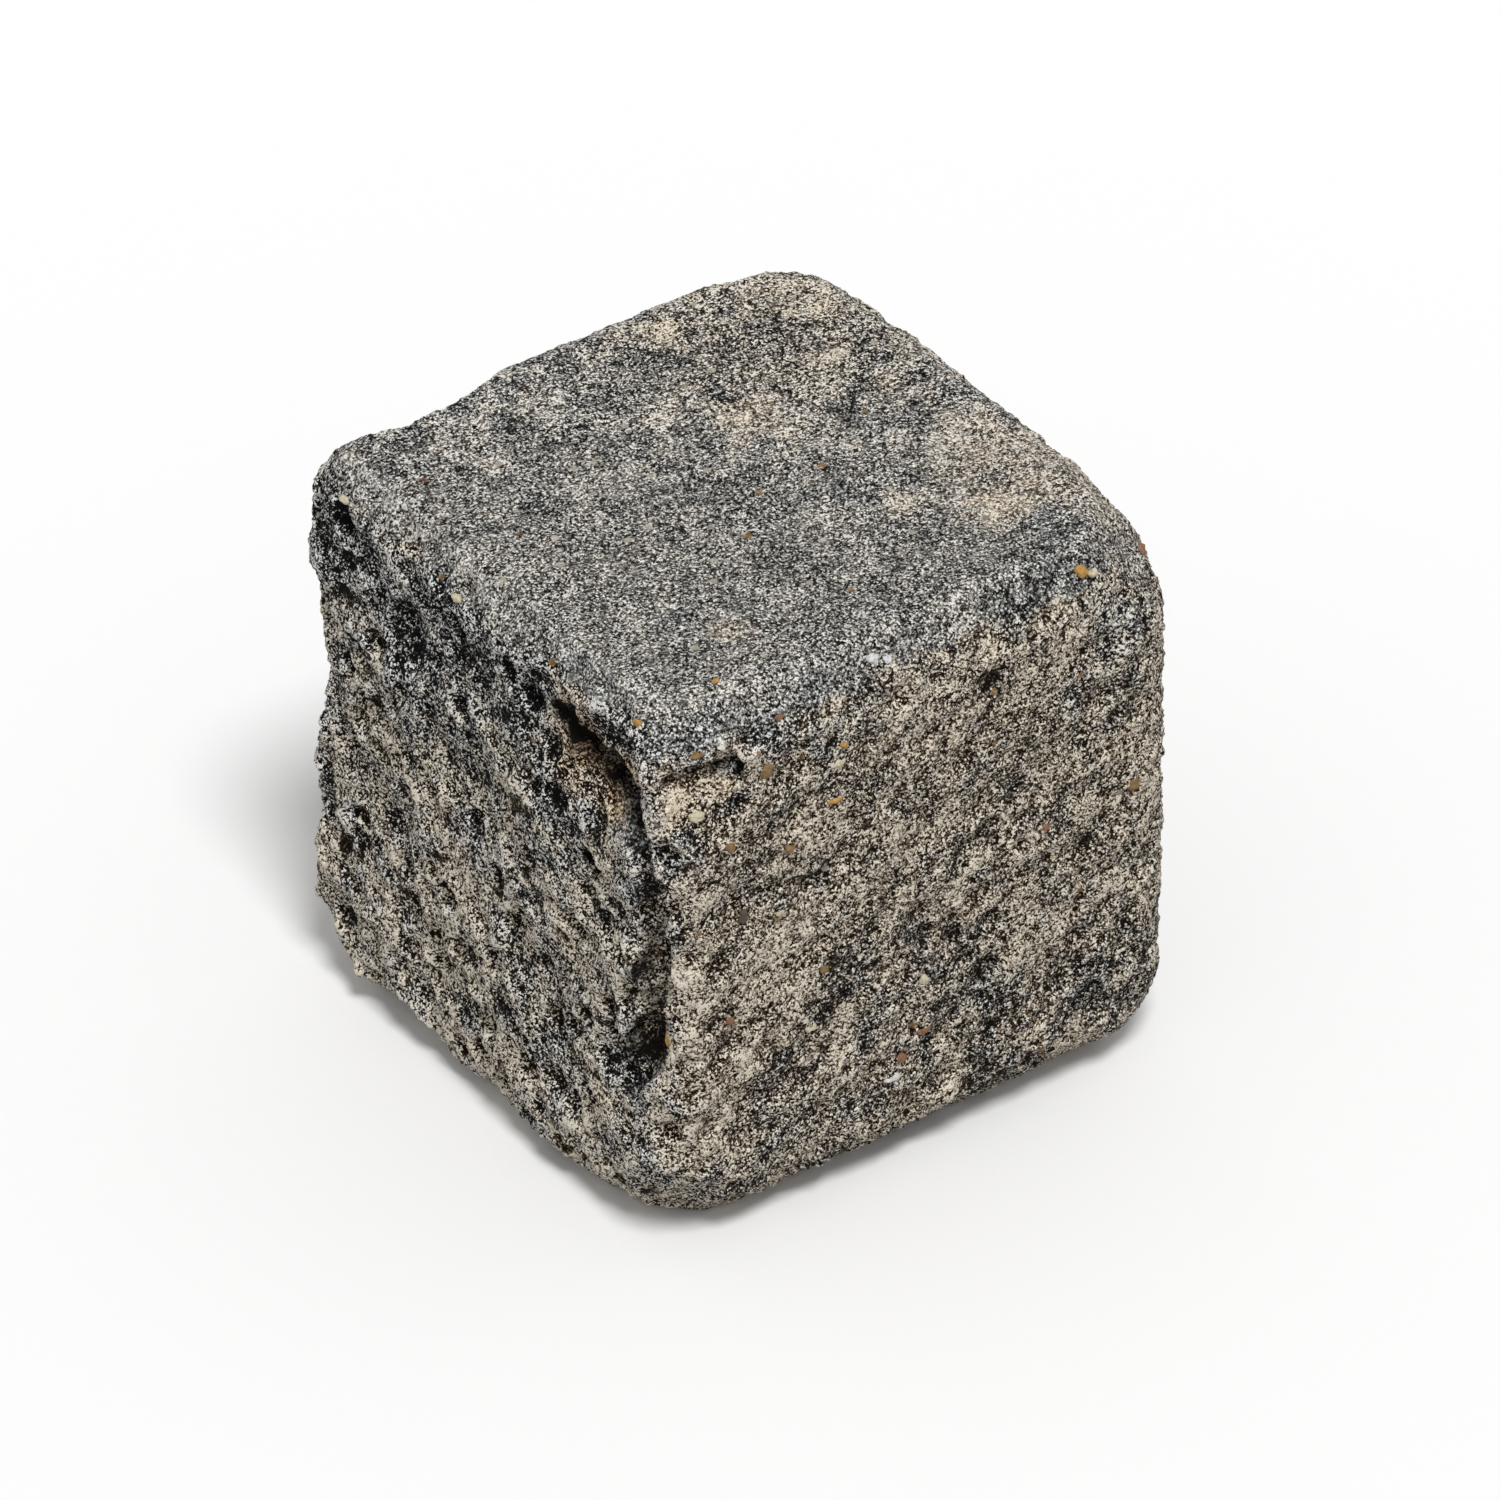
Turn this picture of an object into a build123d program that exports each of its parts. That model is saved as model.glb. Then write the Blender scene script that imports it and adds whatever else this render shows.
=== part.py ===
"""Tumbled concrete wall block, cast in one piece.

A cube-like block is pressed in a mould, so it starts with flat faces and sharp arrises. It is
then rolled in a drum with its neighbours: that rounds every arris, blunts the corners and
breaks shallow, shell-shaped spalls out of the arrises and faces.

Millimetres. The origin is the middle of the underside, +Z is up, -Y is the front face and -X
is the rough left end.
"""

import os
from collections import namedtuple

from build123d import *

# Overall size, over the flat faces
WIDTH = 150.0
DEPTH = 150.0
HEIGHT = 150.0

# Every convex edge is rounded to this radius at least
ROLLING_RADIUS = 11.0

# What the drum takes off an arris or a corner before it is rounded, keyed by the side that it
# faces along X, Y and Z. It is measured from the sharp edge or corner of the pressed block.
ARRIS_LOSS = {
    (-1, -1, 0): 5.2,
    (+1, -1, 0): 7.7,
    (+1, +1, 0): 7.5,
    (-1, +1, 0): 5.0,
    (-1, 0, +1): 5.4,
    (0, -1, +1): 7.0,
    (+1, 0, +1): 7.8,
    (0, +1, +1): 6.0,
    (-1, 0, -1): 6.0,
    (0, -1, -1): 9.0,
    (+1, 0, -1): 6.5,
    (0, +1, -1): 6.0,
}
CORNER_LOSS = {
    (-1, -1, -1): 19.4,
    (-1, -1, +1): 14.5,
    (-1, +1, -1): 16.6,
    (-1, +1, +1): 12.4,
    (+1, -1, -1): 16.8,
    (+1, -1, +1): 20.2,
    (+1, +1, -1): 15.0,
    (+1, +1, +1): 18.8,
}

# A spall out of an arris is a shallow bowl whose middle is given as a share of the arris, from
# -1 to 1 along the axis that the arris follows. The bowl is a cap of a ball of the given
# radius, sunk to the given depth below the worn arris.
ArrisSpall = namedtuple("ArrisSpall", "along radius depth")

ARRIS_SPALLS = {
    (-1, +1, 0): [
        ArrisSpall(0.14, 80.0, 4.2),
        ArrisSpall(-0.36, 34.0, 2.8),
    ],
    (0, +1, +1): [
        ArrisSpall(-0.60, 95.0, 3.6),
        ArrisSpall(0.70, 50.0, 2.6),
    ],
    (+1, 0, +1): [
        ArrisSpall(0.62, 60.0, 2.4),
        ArrisSpall(-0.66, 60.0, 2.2),
    ],
    (-1, 0, -1): [
        ArrisSpall(0.46, 60.0, 2.4),
        ArrisSpall(-0.70, 45.0, 2.6),
    ],
    (0, -1, -1): [
        ArrisSpall(-0.76, 40.0, 2.2),
    ],
    (+1, +1, 0): [
        ArrisSpall(0.30, 60.0, 2.4),
    ],
}

# A spall out of an upright face is given as shares of the face: across from -1 to 1 along +X
# or +Y, and up from 0 to 1. It is sunk to its depth below the flat face.
Spall = namedtuple("Spall", "across up radius depth")

LEFT_END_SPALLS = [
    Spall(-0.66, 0.845, 34.0, 5.0),
    Spall(-0.38, 0.86, 30.0, 3.6),
    Spall(-0.93, 0.60, 26.0, 4.4),
    Spall(-0.92, 0.42, 24.0, 4.8),
    Spall(0.62, 0.80, 70.0, 1.6),
    Spall(0.05, 0.62, 80.0, 1.7),
    Spall(0.55, 0.44, 85.0, 1.5),
    Spall(-0.35, 0.36, 75.0, 1.8),
    Spall(0.25, 0.16, 70.0, 1.9),
    Spall(1.0, 0.70, 40.0, 2.6),
]
FRONT_SPALLS = [
    Spall(-0.86, 0.87, 38.0, 4.0),
    Spall(0.30, 0.60, 130.0, 0.9),
    Spall(-0.40, 0.33, 120.0, 1.0),
    Spall(0.95, 0.14, 30.0, 2.2),
]
RIGHT_END_SPALLS = [
    Spall(0.90, 0.45, 40.0, 2.6),
    Spall(-0.25, 0.30, 130.0, 0.9),
]
BACK_SPALLS = [
    Spall(0.35, 0.97, 38.0, 3.2),
    Spall(-0.55, 0.05, 34.0, 3.0),
    Spall(-0.20, 0.55, 130.0, 1.0),
]


def knock_off(core, sides, loss):
    """Takes a flat slice off the edge or corner of the core that faces the given sides."""
    outward = Vector(*sides).normalized()
    sharp_edge = Vector(sides[0] * WIDTH / 2, sides[1] * DEPTH / 2, sides[2] * HEIGHT / 2)
    reach = WIDTH + DEPTH + HEIGHT
    slice_plane = Plane(
        origin=sharp_edge - outward * (loss + ROLLING_RADIUS), z_dir=outward
    )
    beyond = Box(reach, reach, reach, align=(Align.CENTER, Align.CENTER, Align.MIN))
    return core - slice_plane * beyond


def tumbled_body():
    """The block with flat faces, rounded arrises and blunt corners, standing on its bed.

    A core with all its edges and corners sliced is grown by the rolling radius, which leaves
    the faces flat and rounds every edge between them.
    """
    growth = 2 * ROLLING_RADIUS
    core = Box(WIDTH - growth, DEPTH - growth, HEIGHT - growth)
    for sides, loss in (ARRIS_LOSS | CORNER_LOSS).items():
        core = knock_off(core, sides, loss)
    body = offset(core, amount=ROLLING_RADIUS, kind=Kind.ARC)
    return Pos(0, 0, HEIGHT / 2) * body.solid()


def bowl_cutter(surface_point, outward, run, radius, depth):
    """The ball that breaks a bowl out of a surface. Its seam and poles are kept off the bowl."""
    ball_centre = surface_point + outward * (radius - depth)
    return Plane(origin=ball_centre, x_dir=outward, z_dir=run) * Sphere(radius)


def arris_spalled(body, sides, spalls):
    """Breaks the bowls out of the arris that faces the given two sides."""
    outward = Vector(*sides).normalized()
    half_size = Vector(WIDTH / 2, DEPTH / 2, HEIGHT / 2)
    sharp_edge = Vector(*(side * half for side, half in zip(sides, half_size)))
    worn_arris = sharp_edge - outward * ARRIS_LOSS[sides] + Vector(0, 0, HEIGHT / 2)
    run = Vector(*(float(side == 0) for side in sides))
    for spall in spalls:
        middle = worn_arris + run * (spall.along * half_size.dot(run))
        body -= bowl_cutter(middle, outward, run, spall.radius, spall.depth)
    return body


def face_spalled(body, outward, along, half_thickness, half_length, spalls):
    """Breaks the bowls out of the upright face that looks outward."""
    up = Vector(0, 0, 1)
    for spall in spalls:
        middle = (
            outward * half_thickness
            + along * (spall.across * half_length)
            + up * (spall.up * HEIGHT)
        )
        body -= bowl_cutter(middle, outward, up, spall.radius, spall.depth)
    return body


def wall_block():
    """The whole block: pressed and tumbled, then spalled arris by arris and face by face."""
    to_right, to_back = Vector(1, 0, 0), Vector(0, 1, 0)
    body = tumbled_body()
    for sides, spalls in ARRIS_SPALLS.items():
        body = arris_spalled(body, sides, spalls)
    body = face_spalled(body, -to_right, to_back, WIDTH / 2, DEPTH / 2, LEFT_END_SPALLS)
    body = face_spalled(body, to_right, to_back, WIDTH / 2, DEPTH / 2, RIGHT_END_SPALLS)
    body = face_spalled(body, -to_back, to_right, DEPTH / 2, WIDTH / 2, FRONT_SPALLS)
    body = face_spalled(body, to_back, to_right, DEPTH / 2, WIDTH / 2, BACK_SPALLS)
    return body


block = wall_block()
os.makedirs("parts", exist_ok=True)
export_step(block, "parts/wall_block.step")
print("solids", len(block.solids()), "volume", round(block.volume), block.bounding_box().size)
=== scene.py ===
# %% [markdown]
# # A tumbled concrete wall block
#
# The block is pressed from a stiff concrete mix and then rolled in a drum with its neighbours
# until it looks old. The frame holds its true form: flat beds, rounded arrises and spalls. What
# is left for this lesson is what the eye sees on a real one: the crumbly relief, the breaks and
# the crevice, the pebbles that stand out of it and the sandy, weathered colour.

# %% Load the block's frame
import math

import bpy
import numpy as np
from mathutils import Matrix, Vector, noise


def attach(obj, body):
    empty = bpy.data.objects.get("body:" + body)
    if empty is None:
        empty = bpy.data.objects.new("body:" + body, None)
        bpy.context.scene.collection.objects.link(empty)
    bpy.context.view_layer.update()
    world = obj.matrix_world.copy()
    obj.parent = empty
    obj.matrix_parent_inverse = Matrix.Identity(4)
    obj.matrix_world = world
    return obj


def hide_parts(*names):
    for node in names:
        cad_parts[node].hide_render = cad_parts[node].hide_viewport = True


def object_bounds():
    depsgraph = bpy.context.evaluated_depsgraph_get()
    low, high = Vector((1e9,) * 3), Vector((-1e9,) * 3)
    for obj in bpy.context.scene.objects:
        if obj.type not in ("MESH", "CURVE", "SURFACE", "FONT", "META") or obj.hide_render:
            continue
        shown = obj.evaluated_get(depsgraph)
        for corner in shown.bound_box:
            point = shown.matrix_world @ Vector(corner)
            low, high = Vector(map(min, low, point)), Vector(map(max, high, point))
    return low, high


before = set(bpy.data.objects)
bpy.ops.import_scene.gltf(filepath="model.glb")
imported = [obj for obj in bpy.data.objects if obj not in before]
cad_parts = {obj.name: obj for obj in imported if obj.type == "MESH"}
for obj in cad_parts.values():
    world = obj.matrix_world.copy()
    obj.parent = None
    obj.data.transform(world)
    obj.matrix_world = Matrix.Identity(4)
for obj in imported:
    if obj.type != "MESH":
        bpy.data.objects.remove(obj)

bpy.context.view_layer.update()
cad_low, cad_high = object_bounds()
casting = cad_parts["wall_block"]
MM = 0.001
block_middle = (cad_low + cad_high) / 2
print("casting, mm:", [round(side / MM, 1) for side in cad_high - cad_low])

# %% [markdown]
# ## Where the camera stands
#
# The photograph is a product shot from far away with a long lens, so the block's upright
# edges hardly converge. The camera looks down on the front upright arris. It could be moved by
# eye until the outlines agree. It is placed by two angles and a distance from the block's middle
# instead, so that the block fills the same part of a square picture.

# %% Place the camera
PHOTO_PIXELS = 1500
PIXELS_PER_MM = 4.361
MIDDLE_PIXEL = (740.5, 739.9)
VIEW_AZIMUTH = math.radians(-35.62)
VIEW_ELEVATION = math.radians(37.0)
EYE_DISTANCE = 3.947
SENSOR_WIDTH = 36.0

to_eye = Vector((
    math.sin(VIEW_AZIMUTH) * math.cos(VIEW_ELEVATION),
    -math.cos(VIEW_AZIMUTH) * math.cos(VIEW_ELEVATION),
    math.sin(VIEW_ELEVATION),
))
picture_right = Vector((math.cos(VIEW_AZIMUTH), math.sin(VIEW_AZIMUTH), 0))
picture_up = to_eye.cross(picture_right)
mm_right = (PHOTO_PIXELS / 2 - MIDDLE_PIXEL[0]) / PIXELS_PER_MM
mm_down = (PHOTO_PIXELS / 2 - MIDDLE_PIXEL[1]) / PIXELS_PER_MM
aim = block_middle + (picture_right * mm_right - picture_up * mm_down) * MM

camera_data = bpy.data.cameras.new("camera")
camera_data.sensor_width = SENSOR_WIDTH
camera_data.lens = SENSOR_WIDTH * EYE_DISTANCE / (PHOTO_PIXELS / PIXELS_PER_MM * MM)
camera = bpy.data.objects.new("camera", camera_data)
camera.location = aim + to_eye * EYE_DISTANCE
camera.rotation_euler = to_eye.to_track_quat("Z", "Y").to_euler()
bpy.context.collection.objects.link(camera)
bpy.context.scene.camera = camera
print("lens, mm:", round(camera_data.lens))

# %% [markdown]
# ## Handling one piece at a time
#
# Blender's operators work on whatever is selected. These two helpers select one piece alone and
# apply a modifier to it, as a person would with a click in the viewport and Ctrl+A.

# %% Helpers: take a piece, apply a modifier
def take(piece):
    """Selects this piece alone and makes it active."""
    bpy.ops.object.select_all(action="DESELECT")
    piece.select_set(True)
    bpy.context.view_layer.objects.active = piece


def apply_step(piece, step):
    """Applies one modifier of the piece."""
    take(piece)
    bpy.ops.object.modifier_apply(modifier=step.name)


# %% [markdown]
# ## The body, taken from the casting
#
# The visible block could start as a cube with bevelled edges, but the casting already has the
# right faces, roundings and spalls. Its mesh is copied, its loose triangles are merged into one
# skin, and that copy is worked on, so the casting itself stays as it is.

# %% Copy the casting
# Points of the casting that lie closer than this, in mm, are one point.
SAME_POINT = 0.001

block = bpy.data.objects.new("tumbled_block", casting.data.copy())
bpy.context.collection.objects.link(block)
take(block)
bpy.ops.object.mode_set(mode="EDIT")
bpy.ops.mesh.select_all(action="SELECT")
bpy.ops.mesh.remove_doubles(threshold=SAME_POINT * MM)
bpy.ops.object.mode_set(mode="OBJECT")
print("merged casting:", len(block.data.vertices), "points")

# %% [markdown]
# ## Chisels
#
# Concrete breaks in flakes: a blow leaves a hollow with a ragged rim. A sculpting brush could
# press such hollows in, but it leaves soft rims. So each break here is cut with a chisel: a lump
# that starts as a simple form, gets an even net and an uneven skin from a cloud texture, and is
# taken out of the block by a boolean.

# %% Make an uneven lump
# Quad size of a chisel's net in mm, and how many times finer lumps are laid over a cloud's own.
CHISEL_SKIN = 0.7
CLOUD_DETAIL = 2


def remesh(piece, size):
    """Lays an even net of quads of this size, in mm, over the whole piece."""
    step = piece.modifiers.new("net", "REMESH")
    step.mode = "VOXEL"
    step.voxel_size = size * MM
    apply_step(piece, step)


def cloud(name, width):
    """A soft cloud texture whose lumps are about this wide, in mm."""
    texture = bpy.data.textures.new(name, "CLOUDS")
    texture.noise_scale = width * MM
    texture.noise_depth = CLOUD_DETAIL
    texture.noise_basis = "IMPROVED_PERLIN"
    return texture


def make_uneven(piece, texture, roughness):
    """Moves the piece's skin in and out by a texture, this many mm from crest to dip."""
    step = piece.modifiers.new("uneven", "DISPLACE")
    step.texture = texture
    step.texture_coords = "LOCAL"
    step.strength = roughness * MM
    apply_step(piece, step)


def roughen(piece, roughness, width):
    """Gives a chisel an even net, and lumps of this height and width, in mm."""
    remesh(piece, CHISEL_SKIN)
    make_uneven(piece, cloud(piece.name, width), roughness)


# %% Shape a lump and cut with it
BALL_SUBDIVISIONS = 3


def shape(piece, name, place, half_sizes, turn=(0, 0, 0)):
    """Names a piece of half size 1, and puts its size, turn in degrees and place in its mesh."""
    piece.name = name
    piece.scale = [half * MM for half in half_sizes]
    piece.rotation_euler = [math.radians(angle) for angle in turn]
    piece.location = [at * MM for at in place]
    bpy.ops.object.transform_apply(location=True, rotation=True, scale=True)
    return piece


def ball(name, place, half_sizes, turn=(0, 0, 0)):
    """A round lump with these half sizes, which cuts a shell-shaped hollow."""
    bpy.ops.object.select_all(action="DESELECT")
    bpy.ops.mesh.primitive_ico_sphere_add(subdivisions=BALL_SUBDIVISIONS, radius=1)
    return shape(bpy.context.active_object, name, place, half_sizes, turn)


def wedge(name, place, half_sizes, turn):
    """A box with these half sizes, which cuts with its edge when it is turned."""
    bpy.ops.object.select_all(action="DESELECT")
    bpy.ops.mesh.primitive_cube_add(size=2)
    return shape(bpy.context.active_object, name, place, half_sizes, turn)


def cut(piece, tool, operation="DIFFERENCE"):
    """Cuts the tool out of the piece, or joins it on, and clears the tool away.

    The manifold solver is quick and leaves a closed skin, as long as both meshes are closed.
    """
    step = piece.modifiers.new("cut", "BOOLEAN")
    step.object = tool
    step.operation = operation
    step.solver = "MANIFOLD"
    step.material_mode = "TRANSFER"
    apply_step(piece, step)
    bpy.data.objects.remove(tool)


# %% [markdown]
# ## Hollows
#
# Three broad hollows lie under the top arris of the left end, where the shade is deepest, and a
# flatter one lies low on that end. A small one chips the right front arris, and another nicks the
# foot. All are bites that flakes left, so flattened balls cut them. A list of them is easier to
# read and to change than six chisels made one by one.

# %% Cut the hollows
# Height and width of the lumps on these chisels, in mm.
HOLLOW_ROUGHNESS = 1.6
HOLLOW_LUMPS = 5
# Each hollow: middle and half sizes along X, Y and Z in mm, and its turn in degrees.
HOLLOWS = {
    "under_top_arris_back": ((-80.0, 46, 130), (7.5, 10, 13), (30, 0, 0)),
    "under_top_arris_middle": ((-81.0, 29, 119), (9.0, 11, 16), (30, 0, 0)),
    "under_top_arris_front": ((-81.0, 3, 124), (9.0, 10, 14), (30, 0, 0)),
    "left_end_low": ((-79.0, -52, 51), (6.5, 10, 8), (-20, 0, 0)),
    "front_arris_chip": ((69.5, -74.0, 26), (3.5, 3.5, 4), (0, 0, 0)),
    "foot_nick": ((-52, -78.0, 13), (4.5, 4.5, 3), (0, 0, 0)),
}

for name, (middle, half_sizes, turn) in HOLLOWS.items():
    chisel = ball(name, middle, half_sizes, turn)
    roughen(chisel, HOLLOW_ROUGHNESS, HOLLOW_LUMPS)
    cut(block, chisel)
print("after the hollows:", len(block.data.vertices), "points")

# %% [markdown]
# ## The broken shell under the front corner
#
# Below the top corner a shell has come off the front. Its floor slopes up and inwards and ends
# above under the lip that is left of the top. A ball would leave a round bowl there. A box turned
# on its edge cuts the floor and the underside of the lip at once, and a strong, fine unevenness
# makes both look torn.

# %% Cut the shell
SHELL_ROUGHNESS = 7.0
SHELL_LUMPS = 6
# Each part of the shell: middle and half sizes along X, Y and Z in mm, and its turn in degrees.
SHELLS = {
    "front_shell": ((-64.5, -76.0, 133.0), (10.5, 7.0, 7.0), (45, 0, -4)),
    "front_shell_left": ((-72.5, -74.5, 129.5), (6.0, 5.0, 5.0), (45, 0, -30)),
}

for name, (middle, half_sizes, turn) in SHELLS.items():
    chisel = wedge(name, middle, half_sizes, turn)
    roughen(chisel, SHELL_ROUGHNESS, SHELL_LUMPS)
    cut(block, chisel)
print("after the shell:", len(block.data.vertices), "points")

# %% [markdown]
# ## The crevice
#
# From under the top corner a crevice runs down the front arris. A row of balls could cut it, but
# would leave a string of beads. Its chisel is a root-shaped lump instead: a curve through a few
# points, each with its own radius, whose bevel makes it a solid. The route is first laid on the
# block's real surface, so that the cut has the same depth all along.

# %% The crevice's routes
# Each route: points of X, Y, Z and radius, in mm.
ROUTES = {
    "crevice_high": [
        (-73.5, -27, 132.0, 1.4),
        (-72.0, -32, 131.0, 2.4),
        (-71.5, -38, 129.5, 3.2),
        (-70.6, -45, 127.0, 3.0),
        (-69.8, -51, 124.5, 3.2),
        (-70.4, -57, 121.5, 2.8),
        (-73.0, -62, 116.0, 2.4),
        (-74.5, -65, 110.0, 1.8),
    ],
    "crevice_low": [
        (-74.5, -66, 112, 1.4),
        (-73.0, -65.5, 103, 2.2),
        (-72.5, -65, 94, 2.6),
        (-71.5, -65, 86, 2.8),
        (-71.5, -65, 78, 3.4),
        (-71.0, -64, 68, 3.0),
        (-71.0, -63, 58, 3.8),
        (-73.5, -60, 50, 3.0),
        (-76.0, -58, 42, 1.8),
    ],
}


# %% Cut the crevice
CREVICE_ROUGHNESS = 2.4
CREVICE_LUMPS = 3.5
# How deep a route lies under the surface, as a share of its radius at each point.
SUNK_ROUTE = 0.55


def settle(piece, route):
    """The route laid on the piece's surface, each point sunk by a share of its radius."""
    settled = []
    for *point, radius in route:
        _, surface, outward, _ = piece.closest_point_on_mesh(Vector(point) * MM)
        settled.append((*(surface / MM - outward * SUNK_ROUTE * radius), radius))
    return settled


def lump_along(name, route):
    """A lump along a route of points that each have their own radius."""
    line = bpy.data.curves.new(name, "CURVE")
    line.dimensions = "3D"
    line.bevel_depth = MM
    line.use_fill_caps = True
    spline = line.splines.new("NURBS")
    spline.points.add(len(route) - 1)
    for point, (x, y, z, radius) in zip(spline.points, route):
        point.co = (x * MM, y * MM, z * MM, 1)
        point.radius = radius
    spline.order_u = 3
    spline.use_endpoint_u = True
    piece = bpy.data.objects.new(name, line)
    bpy.context.collection.objects.link(piece)
    take(piece)
    bpy.ops.object.convert(target="MESH")
    return bpy.context.active_object


crevice = {name: settle(block, route) for name, route in ROUTES.items()}
for name, route in crevice.items():
    chisel = lump_along(name, route)
    roughen(chisel, CREVICE_ROUGHNESS, CREVICE_LUMPS)
    cut(block, chisel)
print("after the crevice:", len(block.data.vertices), "points")

# %% [markdown]
# ## An even skin for the relief
#
# The casting's triangles are long on the flats and tiny in the roundings, which is no use for
# fine relief. Subdividing would keep that unevenness. A voxel remesh lays an even net of small
# quads over the whole form. It is finer than the finished piece needs, as in sculpting: the
# relief is laid on first, and the net is thinned afterwards, where it can spare points.

# %% Lay the net
# Quad sizes in mm: while the coarse relief is laid on, and before the finest coats.
SKIN = 0.8
CLOSING_SKIN = 0.7

remesh(block, SKIN)
print("skin:", len(block.data.polygons), "quads")

# %% [markdown]
# ## Which side a point is on
#
# The top was pressed by the stamp and is nearly flat. The front and back are a little open, and
# the left end is coarse, as if split. So each side gets its own relief, and a vertex group says
# how far each point belongs to a side, from the way its surface looks. The groups could be
# painted by hand, but then they would have to be painted again after each change of form. The
# left end's coarse relief starts high on the arris, so the top breaks off there in a ragged line.

# %% Weigh the sides
# Each group: the ways its sides look, and how far a point has to look one of those ways to start
# and to be full.
SIDES = {
    "top": ([(0, 0, 1)], 0.62, 0.90),
    "bottom": ([(0, 0, -1)], 0.80, 0.97),
    "open": ([(0, -1, 0), (0, 1, 0), (1, 0, 0)], 0.55, 0.85),
    "left": ([(-1, 0, 0)], 0.45, 0.75),
}
WEIGHT_STEPS = 20


def read_points(piece):
    """The piece's points and the directions they face, as two arrays, in metres."""
    count = len(piece.data.vertices)
    points, facing = np.empty(count * 3), np.empty(count * 3)
    piece.data.vertices.foreach_get("co", points)
    piece.data.vertex_normals.foreach_get("vector", facing)
    return points.reshape(-1, 3), facing.reshape(-1, 3)


def smooth_step(low, high, value):
    """0 below low, 1 above high, and a soft rise between them."""
    share = np.clip((value - low) / (high - low), 0, 1)
    return share * share * (3 - 2 * share)


def weigh_sides(facing):
    """How far each point belongs to each group of sides, and to the arrises between them."""
    weights = {
        group: smooth_step(start, full, (facing @ np.array(ways).T).max(axis=1))
        for group, (ways, start, full) in SIDES.items()
    }
    weights["arris"] = 1 - np.clip(sum(weights.values()), 0, 1)
    return weights


def group_points(piece, name, weights):
    """A vertex group with these weights, one for each point."""
    group = piece.vertex_groups.new(name=name)
    steps = np.round(weights * WEIGHT_STEPS).astype(int)
    for level in range(1, WEIGHT_STEPS + 1):
        members = np.flatnonzero(steps == level).tolist()
        if members:
            group.add(members, level / WEIGHT_STEPS, "REPLACE")


_, facing = read_points(block)
print("points by group:", {
    group: int(weights.sum()) for group, weights in weigh_sides(facing).items()
})

# %% [markdown]
# ## Relief, from coarse to fine
#
# Weathered concrete is rough at every scale. One strong texture looks like a sponge, so the
# relief is laid on in thin coats, each a Displace modifier with its own texture: broad dents
# first, then pits, then crumbs. The frame's flats are the highest points that the press left,
# so a coat sinks the surface more than it raises it.
#
# The mix was dragged at a slant when it was pressed, so the lumps of the upright sides are
# longer one way. Their textures follow an empty that is turned and stretched, and so turns and
# stretches the pattern.

# %% Textures for the relief
SWELL_CONTRAST = 2.0
CRUMB_CONTRAST = 1.6
# Shares of the pits' spacing at which a pit's floor ends and its rim is reached.
PIT_FLOOR, PIT_RIM = 0.08, 0.42
BLACK, WHITE = (0, 0, 0, 1), (1, 1, 1, 1)


def swells(name, width):
    """Soft swells and dips, with their contrast raised so that they use the whole depth."""
    texture = cloud(name, width)
    texture.contrast = SWELL_CONTRAST
    return texture


def crumbs(name, width):
    """Lumps packed side by side with sharp creases between them."""
    texture = cloud(name, width)
    texture.noise_type = "HARD_NOISE"
    texture.contrast = CRUMB_CONTRAST
    return texture


def pits(name, width):
    """Round pits about this far apart, with flat ground between."""
    texture = bpy.data.textures.new(name, "VORONOI")
    texture.noise_scale = width * MM
    texture.distance_metric = "DISTANCE"
    texture.use_color_ramp = True
    bottom, rim = texture.color_ramp.elements
    bottom.position, bottom.color = PIT_FLOOR, BLACK
    rim.position, rim.color = PIT_RIM, WHITE
    return texture


# %% The slant of the mix
# Which way the lumps are longer, and how many times.
SLANT = Vector((1, 1, 1)).to_track_quat("Z", "Y").to_euler()
STRETCH = 1.35

bpy.ops.object.select_all(action="DESELECT")
bpy.ops.object.empty_add()
slant = bpy.context.active_object
slant.rotation_euler = SLANT
slant.scale = (1, 1, STRETCH)
bpy.context.view_layer.update()
print("slant, degrees:", [round(math.degrees(angle)) for angle in SLANT])

# %% The coats
# Each coat: kind of texture, width of its lumps in mm, depth in mm, group, the level that stays
# where it is, and the guide.
BROAD_COATS = [
    (swells, 30.0, 1.2, "top", 0.75, None),
    (swells, 18.0, 2.0, "open", 0.70, slant),
    (swells, 14.0, 3.4, "left", 0.70, slant),
    (swells, 9.0, 2.0, "arris", 0.60, None),
    (pits, 9.0, 3.4, "left", 1.0, slant),
    (pits, 11.0, 1.8, "open", 1.0, slant),
    (pits, 6.0, 1.2, "open", 1.0, None),
]
MIDDLE_COATS = [
    (swells, 6.0, 0.5, "top", 0.60, None),
    (crumbs, 5.0, 1.8, "left", 0.50, slant),
    (crumbs, 5.0, 1.4, "open", 0.50, slant),
    (crumbs, 4.0, 1.2, "arris", 0.50, None),
]
FINE_COATS = [
    (crumbs, 2.4, 1.1, "left", 0.45, None),
    (crumbs, 2.2, 1.2, "open", 0.45, None),
    (crumbs, 2.2, 1.2, "arris", 0.45, None),
    (crumbs, 2.0, 0.6, "top", 0.45, None),
]
print("coats:", len(BROAD_COATS + MIDDLE_COATS + FINE_COATS))


# %% Lay on the relief
def coat(piece, name, texture, depth, group, level, guide):
    """One coat of relief: the texture moves points along their normals within a group."""
    step = piece.modifiers.new(name, "DISPLACE")
    step.texture = texture
    step.texture_coords = "OBJECT" if guide else "LOCAL"
    step.texture_coords_object = guide
    step.strength = depth * MM
    step.mid_level = level
    step.vertex_group = group
    apply_step(piece, step)


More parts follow.
